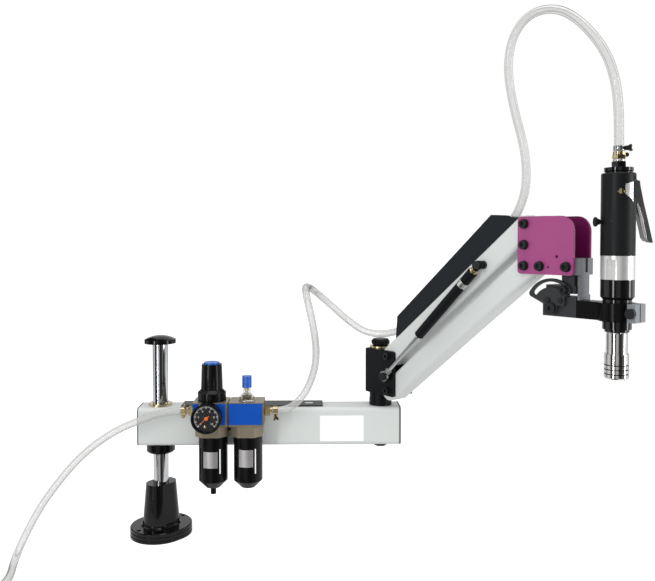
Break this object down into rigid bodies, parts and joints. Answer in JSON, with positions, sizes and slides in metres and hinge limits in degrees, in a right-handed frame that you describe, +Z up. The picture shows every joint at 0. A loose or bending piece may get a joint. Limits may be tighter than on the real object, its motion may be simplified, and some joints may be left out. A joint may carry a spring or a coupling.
{
  "type": "arm tapping machine",
  "caption": "Pneumatic tapping arm: cast base and column, turning lower arm with air unit, gas-balanced parallel links, and a tilting clamp that holds an air motor with a quick-change chuck.",
  "frame": {"origin": "centre of the base's bench face, on the column axis", "axes": "+X along the lower arm from the column, +Z up, -Y towards the operator's side with the air unit"},
  "size_m": [1.2309, 0.4999, 0.9629],
  "materials": {
    "gloss_black": "gloss",
    "column_chrome": "polished",
    "satin_black": "satin",
    "arm_paint": "satin powder coat",
    "pale_brass": "machined",
    "bright_steel": "polished",
    "oxide_black": "satin",
    "air_metal": "satin anodised",
    "blue_plate": "satin",
    "blue_plastic": "gloss",
    "black_plastic": "satin",
    "needle_orange": "matte",
    "clear_bowl": "clear",
    "clear_hose": "clear",
    "magenta_paint": "gloss powder coat",
    "magenta_dark": "gloss powder coat",
    "dark_steel": "phosphated",
    "block_grey": "satin",
    "grip_black": "satin"
  },
  "bodies": {
    "stand": {"base_casting": "gloss_black", "column": "column_chrome", "column_cap": "gloss_black"},
    "height_collar": {"height_collar": "gloss_black", "collar_screw": "bright_steel"},
    "lower_arm": {"arm_tube": "arm_paint", "arm_end_caps": "arm_paint", "column_bushes": "pale_brass", "service_bracket": "dark_steel", "swivel_post": "bright_steel", "thrust_bearing": "satin_black", "regulator_body": "air_metal", "oiler_body": "air_metal", "front_plates": "blue_plate", "pressure_gauge": "black_plastic", "regulator_bonnet": "black_plastic", "bowl_guards": "black_plastic", "bowls": "clear_bowl", "dome_base": "pale_brass", "sight_dome": "clear_bowl", "hose_fittings": "pale_brass", "supply_hose": "clear_hose", "supply_coil": "clear_hose", "supply_coupling": "bright_steel", "feed_hose": "clear_hose"},
    "regulator_knob": {"regulator_knob": "black_plastic"},
    "gauge_needle": {"gauge_needle": "needle_orange"},
    "drain_valve": {"drain_valve": "black_plastic"},
    "oil_knob": {"oil_knob": "blue_plastic"},
    "swivel_block": {"swivel_block": "satin_black", "swivel_bush": "pale_brass", "block_pins": "oxide_black"},
    "swivel_knob": {"swivel_knob": "satin_black"},
    "upper_link": {"upper_link": "arm_paint", "hose_cover": "satin_black", "spring_bolt": "oxide_black", "arm_hose": "clear_hose"},
    "lower_link": {"lower_link": "arm_paint"},
    "spring_body": {"spring_body": "satin_black"},
    "spring_rod": {"spring_rod": "bright_steel"},
    "head": {"head_plate_near": "magenta_paint", "head_plate_far": "magenta_dark", "head_nose_block": "dark_steel", "head_bolts": "oxide_black", "tilt_bracket": "dark_steel", "stop_post": "dark_steel", "loop_hose": "clear_hose"},
    "tool_arm": {"sector_plate": "dark_steel", "tilt_block": "block_grey", "clamp_arm": "oxide_black", "tool_arm_bolts": "oxide_black", "motor_nose": "bright_steel", "motor_sleeve": "bright_steel", "motor_grip": "grip_black", "motor_inlet": "bright_steel", "lever_pin": "bright_steel"},
    "throttle_lever": {"throttle_lever": "bright_steel"},
    "reverse_button": {"reverse_button": "black_plastic"},
    "chuck": {"chuck_body": "bright_steel"},
    "chuck_sleeve": {"chuck_sleeve": "bright_steel"}
  },
  "joints": [
    {"name": "collar_height", "type": "slide", "parent": "stand", "child": "height_collar", "axis": [0, 0, 1], "range_m": [-0.054, 0.115]},
    {"name": "lower_arm_turn", "type": "hinge", "parent": "height_collar", "child": "lower_arm", "pos_m": [0, 0, 0.1836], "axis": [0, 0, 1], "range_deg": [-170, 170]},
    {"name": "regulator_turn", "type": "hinge", "parent": "lower_arm", "child": "regulator_knob", "pos_m": [0.1104, -0.0605, 0.301], "axis": [0, 0, 1], "range_deg": [-360, 360]},
    {"name": "gauge_turn", "type": "hinge", "parent": "lower_arm", "child": "gauge_needle", "pos_m": [0.1052, -0.1045, 0.2558], "axis": [0, 1, 0], "range_deg": [0, 270]},
    {"name": "drain_turn", "type": "hinge", "parent": "lower_arm", "child": "drain_valve", "pos_m": [0.1124, -0.0605, 0.105], "axis": [0, 0, 1], "range_deg": [0, 90]},
    {"name": "oil_turn", "type": "hinge", "parent": "lower_arm", "child": "oil_knob", "pos_m": [0.1774, -0.0605, 0.303], "axis": [0, 0, 1], "range_deg": [-180, 180]},
    {"name": "upper_arm_swing", "type": "hinge", "parent": "lower_arm", "child": "swivel_block", "pos_m": [0.44, 0, 0.2855], "axis": [0, 0, 1], "range_deg": [-98, 201], "deforming": ["feed_hose"]},
    {"name": "swivel_lock", "type": "hinge", "parent": "lower_arm", "child": "swivel_knob", "pos_m": [0.44, 0, 0.377], "axis": [0, 0, 1], "range_deg": [-180, 180]},
    {"name": "lift", "type": "hinge", "parent": "swivel_block", "child": "upper_link", "pos_m": [0.46851, -0.0361, 0.363], "axis": [-0.7848, -0.6198, 0], "range_deg": [-55, 1]},
    {"name": "lower_link_lift", "type": "hinge", "parent": "swivel_block", "child": "lower_link", "pos_m": [0.46851, -0.0361, 0.296], "axis": [-0.7848, -0.6198, 0], "range_deg": [-55, 1]},
    {"name": "head_level", "type": "hinge", "parent": "upper_link", "child": "head", "pos_m": [0.66268, -0.28197, 0.61489], "axis": [-0.7848, -0.6198, 0], "range_deg": [-1, 55]},
    {"name": "spring_tilt", "type": "hinge", "parent": "upper_link", "child": "spring_body", "pos_m": [0.58335, -0.23637, 0.5466], "axis": [-0.7848, -0.6198, 0], "range_deg": [-1, 4]},
    {"name": "spring_stroke", "type": "slide", "parent": "spring_body", "child": "spring_rod", "axis": [-0.4448, 0.5632, -0.6964], "range_m": [-0.036, 0.002]},
    {"name": "head_tilt", "type": "hinge", "parent": "head", "child": "tool_arm", "pos_m": [0.69138, -0.3183, 0.48259], "axis": [0.7848, 0.6198, 0], "range_deg": [0, 90], "deforming": ["loop_hose"]},
    {"name": "lever_press", "type": "hinge", "parent": "tool_arm", "child": "throttle_lever", "pos_m": [0.77036, -0.39678, 0.68], "axis": [0, 1, 0], "range_deg": [0, 4], "stiffness_Nm_per_rad": 1, "springref_deg": -17.19},
    {"name": "reverse_press", "type": "slide", "parent": "tool_arm", "child": "reverse_button", "axis": [1, 0, 0], "range_m": [0, 0.003], "stiffness_N_per_m": 300, "springref_m": -0.004},
    {"name": "chuck_spin", "type": "hinge", "parent": "tool_arm", "child": "chuck", "pos_m": [0.75336, -0.39678, 0.44989], "axis": [0, 0, 1], "continuous": true},
    {"name": "chuck_release", "type": "slide", "parent": "chuck", "child": "chuck_sleeve", "axis": [0, 0, -1], "range_m": [0, 0.004], "stiffness_N_per_m": 1500, "springref_m": -0.004}
  ],
  "couplings": [
    {"joint": "lower_link_lift", "follows": "lift", "ratio": 1},
    {"joint": "head_level", "follows": "lift", "ratio": -1},
    {"joint": "spring_tilt", "follows": "lift", "ratio": -0.046},
    {"joint": "spring_stroke", "follows": "lift", "m_per_rad": 0.0341}
  ]
}
